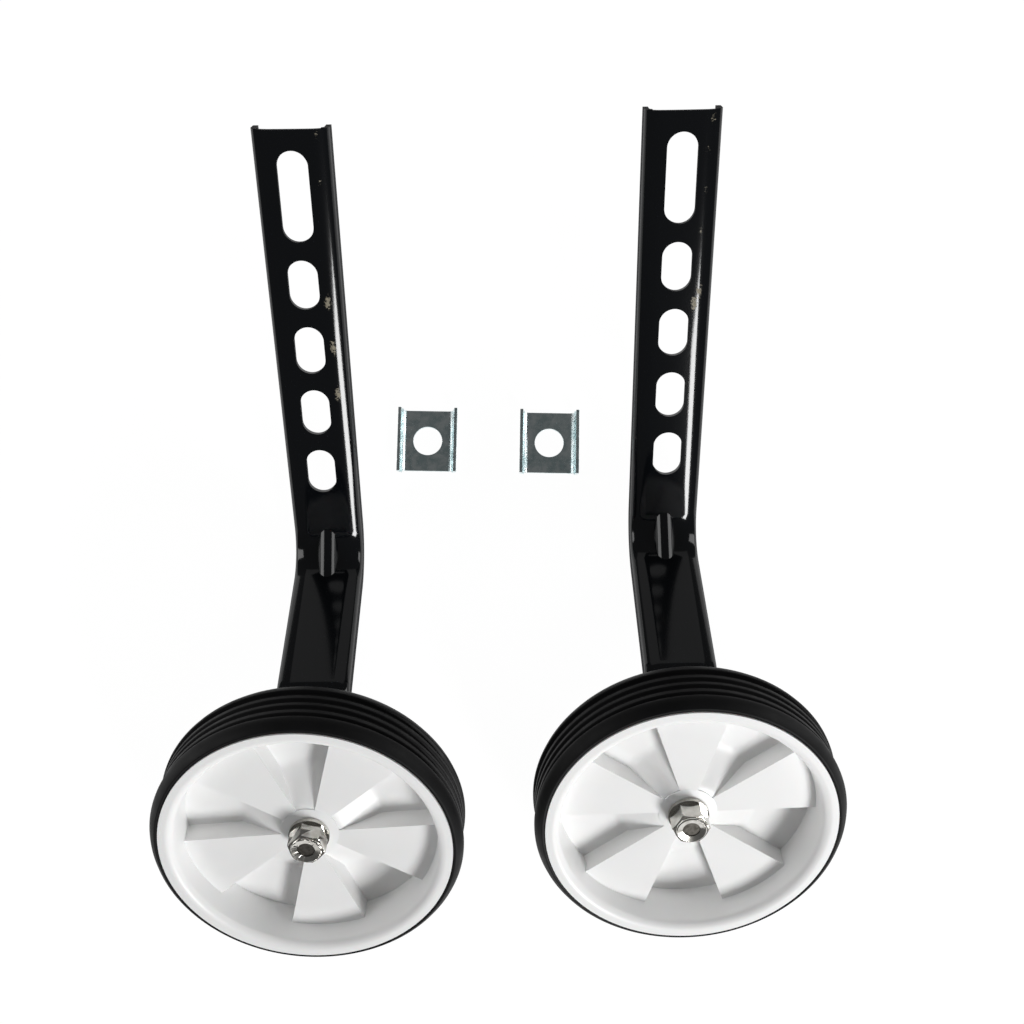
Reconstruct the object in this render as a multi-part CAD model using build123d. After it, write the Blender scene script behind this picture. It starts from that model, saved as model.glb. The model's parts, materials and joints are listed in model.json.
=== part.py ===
from build123d import *
from math import acos, atan2, cos, degrees, hypot, radians, sin, tan
import os

# Bicycle training wheels: a handed-out pair of cranked steel arms, each with a bolted-on wheel,
# and the pair of locating plates, all lying on a flat surface. Millimetres throughout.
# Each arm is drawn in its own frame first: x across the arm, y up the slotted leg, z outward
# from the bicycle, with the origin on the outer face at the first short slot.

# Stamped channel arm
ARM_W = 29.5            # width over the flanges
SHEET = 2.0             # sheet thickness
FLANGE = 9.0            # flange depth, outer face to flange edge
CROWN = 0.5             # rise of the web's middle over its sides
CORNER_R = 3.6          # outer radius between web and flange
SLOT_W = 12.0           # slot width, for an axle of up to 10 mm
LONG_SLOT = 34.0        # end-to-end length of the end slot
SHORT_SLOT = 19.0       # end-to-end length of the others
SLOT_PITCH = 27.0       # short slot spacing
SHORT_SLOTS = 4
LONG_STEP = 34.1        # long slot's centre above the first short slot
TOP_MARGIN = 7.8        # steel left above the long slot
EAR = 1.4               # flange corners stand this far past the web's end
BEND_Y = -122.0         # where the outer faces of the two legs would meet
CRANK = 71.6            # angle that the middle leg turns out by
BEND_R = 16.0           # inside radius of the first bend
BEND2_R = 12.0          # outside radius of the second bend
TAB_END = 16.0          # tab's end below the axle

# Stiffening gusset pressed into the first bend
GUSSET_R = 4.4
GUSSET_REACH = 9.0      # along each leg from the corner
GUSSET_WALL = 1.9

# Wheel: moulded hub and push-on tyre
AXLE_Y = -190.0         # wheel centre below the first short slot
LIP_Z = 110.6           # rim's outer lip in front of the slotted leg
TYRE_R = 60.7
TYRE_W = 27.0
TREAD = 3.5             # tyre over the rim's lips
RIB_DROP = 0.5          # ribs between the grooves, below full radius
GROOVE_DROP = 1.8       # groove floors, below full radius
GROOVE_W = 1.3
GROOVES = (7.0, 11.4)   # from each side of the tyre
SHOULDER_DROP = 1.5     # shoulder below full radius, and in from the tyre's side
SHOULDER_IN = 1.5
CREST_IN = 4.6          # where the band reaches full radius
EDGE_RISE = 0.7         # rounded edge above the lip
EDGE_Z = 0.6
LIP_T = 2.5
LIP_H = 4.0             # lip above the tyre's seat
LIP_EASE = 0.8
RIM_WALL = 2.3          # wall under the seat, at the lips
RIM_DRAFT = 1.0         # wall's growth to mid width
SEAT_GAP = 0.05         # tyre to rim all round
PANELS = 5
PANEL_ARC = 35.0        # arc of each forward panel
FRONT_Z = -10.5         # forward panels' outer face
REAR_Z = -21.5          # rearward panels' outer face
WALL = 2.2
BOSS_R = 11.5
BOSS_PROUD = 1.6        # boss stands past the rim towards the arm

# Axle hardware, M8
BOLT_D = 8.0
HEX_AF = 13.0
HEAD_H = 5.3
JAM_NUT_H = 6.5
LOCK_NUT_H = 8.0
LOCK_HEX_H = 5.6
COLLAR_R = 5.9
COLLAR_EASE = 0.8
WASHER_T = 1.6
WASHER_R = 8.0
SPRING_T = 2.0
SPRING_R = 7.2
SPRING_CUT = 1.4
SPRING_LEAN = 20.0      # lean of the cut, in degrees
SLEEVE_R = 6.0
BOLT_GAP = 0.15         # bolt in sleeve, nuts and washers
RUN_FIT = 0.08          # hub on sleeve
END_FLOAT = 0.3         # hub to washer at each end
BOLT_SHY = 1.0          # bolt's end inside the lock nut's end
BOLT_EASE = 0.8

# Locating plate
PLATE_X = 26.6
PLATE_Y = 29.0
PLATE_T = 2.0
PLATE_H = 6.0
PLATE_R = 3.0
PLATE_HOLE = 13.0
PLATE_NOTCH = 1.3       # plate's ends stop short of its folded sides

# Lay-out on the floor: x, y and turn
ARM_AT = {"left": (-82.0, 151.5, 0.7), "right": (65.0, 159.1, 1.15)}
PLATE_AT = {"left": (-38.1, 104.7, -1.0), "right": (16.8, 103.8, -1.0)}
PHASE = {"left": 274.0, "right": 91.0}
NUT_TURN = {"left": 15.0, "right": 30.0}

# Radii of the wheel
LIP_R = TYRE_R - TREAD
BED_R = LIP_R - LIP_H
RIM_IN = BED_R - RIM_WALL
RIM_WAIST = RIM_IN - RIM_DRAFT
SHOULDER_R = TYRE_R - SHOULDER_DROP

# Stack along the axle, measured outward from the slotted leg's outer face
LOCK_Z = LIP_Z - LOCK_NUT_H
OUT_WASHER_Z = LOCK_Z - WASHER_T
BOSS_FRONT = OUT_WASHER_Z - END_FLOAT
BOSS_REAR = LIP_Z - TYRE_W - BOSS_PROUD
IN_WASHER_Z = BOSS_REAR - END_FLOAT - WASHER_T
JAM_Z = IN_WASHER_Z - JAM_NUT_H
SPRING_Z = JAM_Z - SPRING_T
TAB_Z = SPRING_Z
HEAD_SAG = CROWN * (HEX_AF / cos(radians(30)) / (ARM_W - 2 * SHEET)) ** 2
HEAD_Z = TAB_Z - SHEET - HEAD_SAG - HEAD_H
SLEEVE_Z = IN_WASHER_Z + WASHER_T

TOP_Y = LONG_STEP + LONG_SLOT / 2 + TOP_MARGIN + EAR
BEND_T = BEND_R * tan(radians(CRANK / 2))
BEND2_T = BEND2_R * tan(radians(CRANK / 2))
KNEE_Y = BEND_Y - TAB_Z / tan(radians(CRANK))

# Rest tilt: the flange edges round the first bend and the tyre's inner shoulder share the floor
SHOULDER_Z = LIP_Z - TYRE_W + SHOULDER_IN
REST_Y = BEND_Y + BEND_T - (AXLE_Y - SHOULDER_R)
REST_Z = BEND_R - SHOULDER_Z
REST_R = BEND_R + FLANGE
REST = degrees(atan2(REST_Y, REST_Z) - acos(REST_R / hypot(REST_Y, REST_Z)))
LIFT = REST_R - (BEND_Y + BEND_T) * sin(radians(REST)) - BEND_R * cos(radians(REST))


def ring(r_out, r_in, z, height):
    """Flat ring from z upward."""
    return Pos(0, 0, z) * extrude(Circle(r_out) - Circle(r_in), height)


def on_axle(shape):
    """Move a shape drawn about z to the axle of the arm's frame."""
    return Pos(0, AXLE_Y, 0) * shape


def make_arm():
    """Channel swept along the two bends, then pierced."""
    half = ARM_W / 2
    inner = half - SHEET
    outline = [
        Line((-half, -FLANGE), (-half, -CROWN)),
        Bezier((-half, -CROWN), (0, CROWN), (half, -CROWN)),
        Line((half, -CROWN), (half, -FLANGE)),
        Line((half, -FLANGE), (inner, -FLANGE)),
        Line((inner, -FLANGE), (inner, -SHEET - CROWN)),
        Bezier((inner, -SHEET - CROWN), (0, CROWN - SHEET), (-inner, -SHEET - CROWN)),
        Line((-inner, -SHEET - CROWN), (-inner, -FLANGE)),
        Line((-inner, -FLANGE), (-half, -FLANGE)),
    ]
    section = make_face(outline)
    outer_pts = section.vertices().filter_by(lambda v: abs(v.Y + CROWN) < 0.01)
    section = fillet(outer_pts, CORNER_R)
    inner_pts = section.vertices().filter_by(lambda v: abs(v.Y + SHEET + CROWN) < 0.01)
    section = fillet(inner_pts, CORNER_R - SHEET)

    top = Plane((0, TOP_Y, 0), x_dir=(1, 0, 0), z_dir=(0, -1, 0))
    leg = extrude(top * section, TOP_Y - BEND_Y - BEND_T)
    bend_at = Plane((0, BEND_Y + BEND_T, 0), x_dir=(1, 0, 0), z_dir=(0, -1, 0))
    bend = revolve(bend_at * section, Axis((0, BEND_Y + BEND_T, BEND_R), (-1, 0, 0)), CRANK)
    out = (0, -cos(radians(CRANK)), sin(radians(CRANK)))
    mid_at = Plane(
        (0, BEND_Y + BEND_T * out[1], BEND_T * out[2]), x_dir=(1, 0, 0), z_dir=out)
    mid_length = TAB_Z / sin(radians(CRANK)) - BEND_T - BEND2_T
    middle = extrude(mid_at * section, mid_length)
    knee_at = Plane((0, KNEE_Y - BEND2_T, TAB_Z), x_dir=(1, 0, 0), z_dir=(0, -1, 0))
    knee = revolve(
        knee_at * section, Axis((0, KNEE_Y - BEND2_T, TAB_Z - BEND2_R), (-1, 0, 0)), CRANK)
    tab = extrude(knee_at * section, KNEE_Y - BEND2_T - AXLE_Y + TAB_END)
    arm = leg + bend + middle + knee + tab

    through = 2 * SHEET + 2 * CROWN
    slots = Pos(0, LONG_STEP, 0) * SlotOverall(LONG_SLOT, SLOT_W, rotation=90)
    for i in range(SHORT_SLOTS):
        slots += Pos(0, -i * SLOT_PITCH, 0) * SlotOverall(SHORT_SLOT, SLOT_W, rotation=90)
    arm -= Pos(0, 0, SHEET - through) * extrude(slots, through)
    web_w = ARM_W - 2 * CORNER_R
    arm -= Pos(0, TOP_Y, -SHEET) * Box(web_w, 2 * EAR, 2 * through)
    bolt_hole = extrude(Circle(BOLT_D / 2 + BOLT_GAP), through)
    arm -= Pos(0, AXLE_Y, TAB_Z + SHEET - through) * bolt_hole

    lean = (90 - CRANK / 2)
    half_chord = GUSSET_REACH * sin(radians(lean))
    depth = GUSSET_REACH * cos(radians(lean))
    facing = (0, sin(radians(CRANK / 2)), cos(radians(CRANK / 2)))
    along = (0, cos(radians(CRANK / 2)), -sin(radians(CRANK / 2)))
    centre = (0, BEND_Y + depth * facing[1], depth * facing[2])
    chord = Plane(centre, x_dir=(1, 0, 0), z_dir=along)
    tip = half_chord + GUSSET_R
    lens = make_face([ThreePointArc((0, -tip), (GUSSET_R, 0), (0, tip)), Line((0, tip), (0, -tip))])
    rib = chord * Rot(90, 0, 0) * revolve(lens, Axis.Y)
    behind = -1 if chord.y_dir.Z > 0 else 1
    hollow_w = 2 * (GUSSET_R - GUSSET_WALL)
    hollow = chord * Pos(0, behind * GUSSET_R, 0) * Box(hollow_w, 2 * GUSSET_R, 2 * half_chord)
    behind_sheet = Pos(0, -SHEET / 2 - FLANGE / 2) * Rectangle(ARM_W, FLANGE)
    rib -= extrude(bend_at * behind_sheet, -3 * GUSSET_REACH)
    rib -= revolve(
        bend_at * behind_sheet, Axis((0, BEND_Y + BEND_T, BEND_R), (-1, 0, 0)), CRANK)
    rib -= extrude(mid_at * behind_sheet, 3 * GUSSET_REACH)
    return arm + rib - hollow


def make_bolt():
    """Hexagon bolt from the tab's inner side."""
    head = Pos(0, 0, HEAD_Z) * extrude(RegularPolygon(HEX_AF / 2, 6, major_radius=False), HEAD_H)
    cone = Pos(0, 0, HEAD_Z) * Cone(HEX_AF / 2, HEX_AF / 2 + HEAD_H, HEAD_H,
                                    align=(Align.CENTER, Align.CENTER, Align.MIN))
    end = LIP_Z - BOLT_SHY
    shank = Pos(0, 0, HEAD_Z + HEAD_H) * extrude(Circle(BOLT_D / 2), end - HEAD_Z - HEAD_H)
    shank = chamfer(shank.faces().sort_by(Axis.Z)[-1].edges(), BOLT_EASE)
    return on_axle((head & cone) + shank)


def make_nut(z, height, turn, collar):
    """Hexagon nut with eased corners; a lock nut carries a round collar on its end."""
    hexagon = Rot(0, 0, turn) * RegularPolygon(HEX_AF / 2, 6, major_radius=False)
    hex_h = LOCK_HEX_H if collar else height
    body = extrude(hexagon, hex_h)
    ease = HEX_AF / 2 + hex_h
    body &= Cone(ease, HEX_AF / 2, hex_h, align=(Align.CENTER, Align.CENTER, Align.MIN))
    if collar:
        neck = Pos(0, 0, hex_h) * Cylinder(
            COLLAR_R, height - hex_h, align=(Align.CENTER, Align.CENTER, Align.MIN))
        body += chamfer(neck.faces().sort_by(Axis.Z)[-1].edges(), COLLAR_EASE)
    body -= Cylinder(
        BOLT_D / 2 + BOLT_GAP, height, align=(Align.CENTER, Align.CENTER, Align.MIN))
    return on_axle(Pos(0, 0, z) * body)


def make_spring_washer():
    """Split ring under the jam nut."""
    split = ring(SPRING_R, BOLT_D / 2 + BOLT_GAP, SPRING_Z, SPRING_T)
    cut = Pos(0, SPRING_R, SPRING_Z + SPRING_T / 2) * Rot(0, SPRING_LEAN, 0) * Box(
        SPRING_CUT, 2 * (SPRING_R - BOLT_D / 2), 3 * SPRING_T)
    return on_axle(split - cut)


def make_hub():
    """Moulded wheel centre: channelled rim, stepped panels and boss as one piece."""
    profile = Polyline(
        (RIM_IN, 0), (LIP_R, 0), (LIP_R, -LIP_T), (BED_R, -LIP_T), (BED_R, LIP_T - TYRE_W),
        (LIP_R, LIP_T - TYRE_W), (LIP_R, -TYRE_W), (RIM_IN, -TYRE_W), (RIM_WAIST, -TYRE_W / 2),
        close=True)
    section = make_face(profile)
    section = chamfer(section.vertices().filter_by(
        lambda v: abs(v.Y) < 0.01 or abs(v.Y + TYRE_W) < 0.01), LIP_EASE)
    hub = revolve(Plane.XZ * section, Axis.Z)
    hub += ring(BOSS_R, SLEEVE_R + RUN_FIT, BOSS_REAR - LIP_Z, BOSS_FRONT - BOSS_REAR)

    reach = (RIM_WAIST + BED_R) / 2
    root = (BOSS_R + SLEEVE_R) / 2
    band = Circle(reach) - Circle(root)
    far = 2 * reach

    def wedge(middle, arc):
        low = radians(middle - arc / 2)
        high = radians(middle + arc / 2)
        corner = Polyline(
            (0, 0), (far * cos(low), far * sin(low)), (far * cos(high), far * sin(high)),
            close=True)
        return band & make_face(corner)

    step = 360 / PANELS
    panels = []
    for i in range(PANELS):
        middle = i * step
        panels.append(Pos(0, 0, FRONT_Z - WALL) * extrude(wedge(middle, PANEL_ARC), WALL))
        panels.append(
            Pos(0, 0, REAR_Z - WALL) * extrude(wedge(middle + step / 2, step - PANEL_ARC), WALL))
        for side in (-1, 1):
            fin = Rot(0, 0, middle + side * PANEL_ARC / 2) * Pos(
                (reach + root) / 2, -side * WALL / 2, (FRONT_Z + REAR_Z - WALL) / 2)
            panels.append(fin * Box(reach - root, WALL, FRONT_Z - REAR_Z + WALL))
    hub += panels
    hub -= Pos(0, 0, -TYRE_W) * Cylinder(SLEEVE_R + RUN_FIT, 3 * TYRE_W)
    return Pos(0, 0, LIP_Z) * hub


def make_tyre():
    """Grooved band keyed between the rim's lips."""
    key_r = BED_R + SEAT_GAP
    cap_r = LIP_R + SEAT_GAP
    key_z = LIP_T + SEAT_GAP
    half = [(key_r, key_z), (cap_r, key_z), (cap_r, EDGE_Z), (LIP_R + EDGE_RISE, EDGE_Z / 2),
            (SHOULDER_R, SHOULDER_IN), (TYRE_R, CREST_IN)]
    crest = TYRE_R
    floor = TYRE_R - GROOVE_DROP
    for groove in GROOVES:
        half += [(crest, groove - GROOVE_W), (floor, groove - GROOVE_W / 2),
                 (floor, groove + GROOVE_W / 2), (TYRE_R - RIB_DROP, groove + GROOVE_W)]
        crest = TYRE_R - RIB_DROP
    points = [(r, -z) for r, z in half] + [(r, z - TYRE_W) for r, z in reversed(half)]
    section = make_face(Polyline(*points, close=True))
    return on_axle(Pos(0, 0, LIP_Z) * revolve(Plane.XZ * section, Axis.Z))


def make_plate():
    """Locating plate: flat base with a hole and two folded sides."""
    half = PLATE_X / 2
    bend = Polyline(
        (-half, PLATE_H), (-half, 0), (half, 0), (half, PLATE_H), (half - PLATE_T, PLATE_H),
        (half - PLATE_T, PLATE_T), (-half + PLATE_T, PLATE_T), (-half + PLATE_T, PLATE_H),
        close=True)
    section = make_face(bend)
    section = fillet(section.vertices().filter_by(lambda v: abs(v.Y) < 0.01), PLATE_R)
    section = fillet(
        section.vertices().filter_by(
            lambda v: abs(v.Y - PLATE_T) < 0.01 and abs(v.X) < half - PLATE_T + 0.01),
        PLATE_R - PLATE_T)
    plate = extrude(Plane.XZ * section, PLATE_Y / 2, both=True)
    base_w = PLATE_X - 2 * PLATE_R
    for end in (-1, 1):
        plate -= Pos(0, end * PLATE_Y / 2, 0) * Box(base_w, 2 * PLATE_NOTCH, 3 * PLATE_T)
    plate -= Cylinder(PLATE_HOLE / 2, 3 * PLATE_T)
    return plate


arm = make_arm()
bolt = make_bolt()
spring_washer = make_spring_washer()
inner_washer = on_axle(ring(WASHER_R, BOLT_D / 2 + BOLT_GAP, IN_WASHER_Z, WASHER_T))
outer_washer = on_axle(ring(WASHER_R, BOLT_D / 2 + BOLT_GAP, OUT_WASHER_Z, WASHER_T))
sleeve = on_axle(ring(SLEEVE_R, BOLT_D / 2 + BOLT_GAP, SLEEVE_Z, OUT_WASHER_Z - SLEEVE_Z))
hub = make_hub()
tyre = make_tyre()
plate = make_plate()

placed = {}
for side in ("left", "right"):
    x, y, turn = ARM_AT[side]
    lay = Pos(x, y, LIFT) * Rot(0, 0, turn) * Rot(REST, 0, 0)
    placed[side + "_arm"] = lay * arm
    placed[side + "_axle_bolt"] = lay * bolt
    placed[side + "_spring_washer"] = lay * spring_washer
    placed[side + "_jam_nut"] = lay * make_nut(JAM_Z, JAM_NUT_H, 0, False)
    placed[side + "_inner_washer"] = lay * inner_washer
    placed[side + "_sleeve"] = lay * sleeve
    placed[side + "_wheel"] = lay * on_axle(Rot(0, 0, PHASE[side]) * hub)
    placed[side + "_tyre"] = lay * tyre
    placed[side + "_outer_washer"] = lay * outer_washer
    placed[side + "_lock_nut"] = lay * make_nut(LOCK_Z, LOCK_NUT_H, NUT_TURN[side], True)
    x, y, turn = PLATE_AT[side]
    placed[side + "_plate"] = Pos(x, y, 0) * Rot(0, 0, turn) * plate

# The frame's origin is the middle of the lay-out, on the floor
boxes = [shape.bounding_box() for shape in placed.values()]
mid_x = (min(b.min.X for b in boxes) + max(b.max.X for b in boxes)) / 2
mid_y = (min(b.min.Y for b in boxes) + max(b.max.Y for b in boxes)) / 2
centred = Pos(-mid_x, -mid_y, 0)
os.makedirs("parts", exist_ok=True)
for node, shape in placed.items():
    export_step(centred * shape, "parts/" + node + ".step")
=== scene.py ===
"""Looks of a pair of bicycle training wheels and their locating plates, laid out on a pale floor."""

import json
import logging
import math
from collections.abc import Iterable
from dataclasses import dataclass
from enum import Enum
from typing import Any

import bmesh
import bpy
from mathutils import Matrix, Vector

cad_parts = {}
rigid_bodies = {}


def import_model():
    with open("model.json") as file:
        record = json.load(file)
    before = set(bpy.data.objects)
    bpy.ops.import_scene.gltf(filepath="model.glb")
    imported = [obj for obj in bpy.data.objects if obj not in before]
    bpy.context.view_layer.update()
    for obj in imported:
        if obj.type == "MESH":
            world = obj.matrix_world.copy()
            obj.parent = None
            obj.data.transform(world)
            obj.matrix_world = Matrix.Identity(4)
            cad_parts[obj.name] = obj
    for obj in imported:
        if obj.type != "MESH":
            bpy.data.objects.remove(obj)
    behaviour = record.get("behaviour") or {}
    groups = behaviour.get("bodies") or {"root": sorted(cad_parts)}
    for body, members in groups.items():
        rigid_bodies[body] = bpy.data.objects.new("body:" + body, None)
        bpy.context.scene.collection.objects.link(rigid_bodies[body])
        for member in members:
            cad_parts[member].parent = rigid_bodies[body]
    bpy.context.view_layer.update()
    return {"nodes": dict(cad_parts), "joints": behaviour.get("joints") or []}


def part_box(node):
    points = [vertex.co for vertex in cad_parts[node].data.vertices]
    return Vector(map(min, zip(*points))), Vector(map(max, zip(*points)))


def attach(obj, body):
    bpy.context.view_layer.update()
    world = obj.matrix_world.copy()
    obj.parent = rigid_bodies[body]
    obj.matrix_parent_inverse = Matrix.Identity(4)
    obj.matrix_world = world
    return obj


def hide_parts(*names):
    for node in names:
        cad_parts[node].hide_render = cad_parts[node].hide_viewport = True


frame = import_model()
LOG = logging.getLogger("training_wheels")
MM = 0.001
AXLE_Y = -190.0  # Wheel axle below the first short slot, in millimetres
EASED_EDGE_STEPS = 3
EASED_EDGE_ANGLE = 32.0
RING_STEPS = 144
HOLE_STEPS = 48
WELD = 1e-4  # Points closer than this, in millimetres, become one


class Side(Enum):
    """The two halves of the set, as they lie from left to right."""

    LEFT = "left"
    RIGHT = "right"


class Slot(Enum):
    """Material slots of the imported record."""

    ENAMEL = "black_enamel"
    STEEL = "zinc_steel"
    PLATE = "zinc_plate"
    MOULDING = "white_polypropylene"
    TYRE = "black_rubber"


def linear(hex_colour: str) -> tuple[float, float, float, float]:
    """Turn an sRGB hex value to linear light.

    Args:
        hex_colour: Six digits with a leading mark.

    Returns:
        Red, green, blue and full opacity.
    """
    parts = [int(hex_colour[i:i + 2], 16) / 255 for i in (1, 3, 5)]
    red, green, blue = [c / 12.92 if c <= 0.04045 else ((c + 0.055) / 1.055) ** 2.4 for c in parts]
    return red, green, blue, 1.0


def per_mm(size_mm: float) -> float:
    """Scale of a pattern whose features are this many millimetres across."""
    return 1.0 / (size_mm * MM)


def add_node(tree: bpy.types.NodeTree, kind: str, settings: dict[Any, Any],
             links: dict[Any, bpy.types.NodeSocket]) -> bpy.types.Node:
    """Add one node with its settings and incoming links.

    Args:
        tree: Tree that takes the node.
        kind: Node type.
        settings: Values by attribute name, or by socket name or number.
        links: Output sockets by the name or number of the input that they feed.

    Returns:
        The new node.
    """
    node = tree.nodes.new(kind)
    for key, value in settings.items():
        if isinstance(key, str) and hasattr(node, key):
            setattr(node, key, value)
        else:
            node.inputs[key].default_value = value
    for key, socket in links.items():
        tree.links.new(socket, node.inputs[key])
    return node


def start_material(name: str) -> tuple[bpy.types.Material, bpy.types.Node, bpy.types.NodeSocket]:
    """Make a material with its shader and Object coordinates.

    Args:
        name: The real material's name.

    Returns:
        The material, its shader node and the coordinate socket.
    """
    material = bpy.data.materials.new(name)
    material.use_nodes = True
    shader = material.node_tree.nodes["Principled BSDF"]
    place = add_node(material.node_tree, "ShaderNodeTexCoord", {}, {})
    return material, shader, place.outputs["Object"]


def set_shader(tree: bpy.types.NodeTree, shader: bpy.types.Node, values: dict[str, Any],
               links: dict[str, bpy.types.NodeSocket]) -> None:
    """Set constant sockets of a shader and link the patterned ones.

    Args:
        tree: Tree that holds the shader.
        shader: The shader node.
        values: Constants by socket name.
        links: Output sockets by the shader's socket name.
    """
    for key, value in values.items():
        shader.inputs[key].default_value = value
    for key, socket in links.items():
        tree.links.new(socket, shader.inputs[key])


@dataclass(frozen=True)
class Enamel:
    """Stoved gloss black enamel on pressed steel: deep black and mirror-like, with a faint orange peel.

    Light that grazes it is spread, so its flanks look satin where its faces mirror. Pale flecks of
    painted highlight are drawn round a few places on the lit side of each leg.
    """

    colour: str = "#090b0e"
    ior: float = 1.43
    roughness: float = 0.1
    grazing_roughness: float = 0.9
    grazing_range: tuple[float, float] = (0.55, 0.85)
    peel_mm: float = 3.0
    peel_depth_mm: float = 0.012
    peel_strength: float = 0.35
    # Pale flecks of painted highlight, laid where the lamp's highlight falls along the right-hand side
    # of each leg.
    highlight_fleck_colour: str = "#8d8674"
    highlight_fleck_mm: float = 0.9
    highlight_fleck_range: tuple[float, float] = (0.36, 0.43)
    highlight_fleck_roughness: float = 0.65
    highlight_spot_reach_mm: tuple[float, float, float] = (4.0, 9.0, 9.0)

    def painted_highlight_flecks(self, tree: bpy.types.NodeTree, place: bpy.types.NodeSocket,
             highlight_spots: Iterable[tuple[Vector, float]]) -> bpy.types.NodeSocket:
        """Draw the pale flecks of painted highlight.

        Args:
            tree: The enamel's tree.
            place: Object coordinates.
            highlight_spots: Middles of the spots of painted highlight, in metres, each with its
                strength.

        Returns:
            One on the painted highlight flecks and zero on plain enamel.
        """
        fleck_noise = add_node(tree, "ShaderNodeTexNoise",
                          {"Scale": per_mm(self.highlight_fleck_mm), "Detail": 5.0, "Roughness": 0.7},
                          {"Vector": place})
        shrink = Vector([per_mm(reach) for reach in self.highlight_spot_reach_mm])
        near = None
        for highlight_spot, strength in highlight_spots:
            gap = add_node(tree, "ShaderNodeVectorMath",
                           {"operation": "MULTIPLY_ADD", 1: shrink, 2: -highlight_spot * shrink}, {0: place})
            far = add_node(tree, "ShaderNodeVectorMath", {"operation": "LENGTH"}, {0: gap.outputs[0]})
            fade = add_node(tree, "ShaderNodeMapRange", {1: 0.0, 2: 1.0, 3: strength, 4: 0.0},
                            {0: far.outputs["Value"]})
            if near is None:
                near = fade.outputs[0]
            else:
                both = add_node(tree, "ShaderNodeMath", {"operation": "MAXIMUM"},
                                {0: near, 1: fade.outputs[0]})
                near = both.outputs[0]
        patch = add_node(tree, "ShaderNodeMath", {"operation": "MULTIPLY"},
                         {0: fleck_noise.outputs[0], 1: near})
        low, high = self.highlight_fleck_range
        highlight_fleck_mask = add_node(tree, "ShaderNodeMapRange", {1: low, 2: high, 3: 0.0, 4: 1.0},
                        {0: patch.outputs[0]})
        return highlight_fleck_mask.outputs[0]

    def material(self, highlight_spots: Iterable[tuple[Vector, float]]) -> bpy.types.Material:
        """Make the enamel, with pale flecks of painted highlight round a few places.

        Args:
            highlight_spots: Middles of the spots of painted highlight, in metres, each with its
                strength.

        Returns:
            The material.
        """
        material, shader, place = start_material("gloss_black_enamel")
        tree = material.node_tree
        peel = add_node(tree, "ShaderNodeTexNoise", {"Scale": per_mm(self.peel_mm), "Detail": 1.0},
                        {"Vector": place})
        bump = add_node(tree, "ShaderNodeBump",
                        {"Strength": self.peel_strength, "Distance": self.peel_depth_mm * MM},
                        {"Height": peel.outputs[0]})
        # Painted highlight: pale flecks mixed into the enamel's colour.
        highlight_fleck_mask = self.painted_highlight_flecks(tree, place, highlight_spots)
        skin = add_node(tree, "ShaderNodeMix",
                        {"data_type": "RGBA", 6: linear(self.colour), 7: linear(self.highlight_fleck_colour)},
                        {0: highlight_fleck_mask})
        slant = add_node(tree, "ShaderNodeLayerWeight", {"Blend": 0.5}, {})
        low, high = self.grazing_range
        haze = add_node(tree, "ShaderNodeMapRange",
                        {1: low, 2: high, 3: self.roughness, 4: self.grazing_roughness},
                        {0: slant.outputs["Facing"]})
        # The flecks of painted highlight are made rough as well.
        fleck_dullness = add_node(tree, "ShaderNodeMath", {"operation": "MULTIPLY", 1: self.highlight_fleck_roughness},
                        {0: highlight_fleck_mask})
        gloss = add_node(tree, "ShaderNodeMath", {"operation": "MAXIMUM"},
                         {0: haze.outputs[0], 1: fleck_dullness.outputs[0]})
        set_shader(tree, shader, {"IOR": self.ior},
                   {"Base Color": skin.outputs[2], "Roughness": gloss.outputs[0],
                    "Normal": bump.outputs[0]})
        return material


@dataclass(frozen=True)
class Moulding:
    """A moulded polymer: an even colour with slow flow marks and a fine grain that softens its gloss."""

    name: str
    colour: str
    flow_colour: str
    roughness: tuple[float, float]
    flow_mm: float
    grain_mm: float
    grain_depth_mm: float
    scatter: float = 0.0
    scatter_mm: float = 2.0
    sheen_level: float = 0.5
    flow_range: tuple[float, float] = (0.3, 0.7)
    grain_strength: float = 0.3
    ior: float = 1.49

    def material(self) -> bpy.types.Material:
        """Make the moulded finish.

        Returns:
            The material.
        """
        material, shader, place = start_material(self.name)
        tree = material.node_tree
        flow = add_node(tree, "ShaderNodeTexNoise", {"Scale": per_mm(self.flow_mm), "Detail": 3.0},
                        {"Vector": place})
        grain = add_node(tree, "ShaderNodeTexNoise", {"Scale": per_mm(self.grain_mm), "Detail": 2.0},
                         {"Vector": place})
        skin = add_node(tree, "ShaderNodeMix",
                        {"data_type": "RGBA", 6: linear(self.colour), 7: linear(self.flow_colour)},
                        {0: flow.outputs[0]})
        (low, high), (sleek, dull) = self.flow_range, self.roughness
        gloss = add_node(tree, "ShaderNodeMapRange", {1: low, 2: high, 3: sleek, 4: dull},
                         {0: flow.outputs[0]})
        bump = add_node(tree, "ShaderNodeBump",
                        {"Strength": self.grain_strength, "Distance": self.grain_depth_mm * MM},
                        {"Height": grain.outputs[0]})
        set_shader(tree, shader,
                   {"IOR": self.ior, "Specular IOR Level": self.sheen_level,
                    "Subsurface Weight": self.scatter, "Subsurface Scale": self.scatter_mm * MM},
                   {"Base Color": skin.outputs[2], "Roughness": gloss.outputs[0],
                    "Normal": bump.outputs[0]})
        return material


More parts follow.
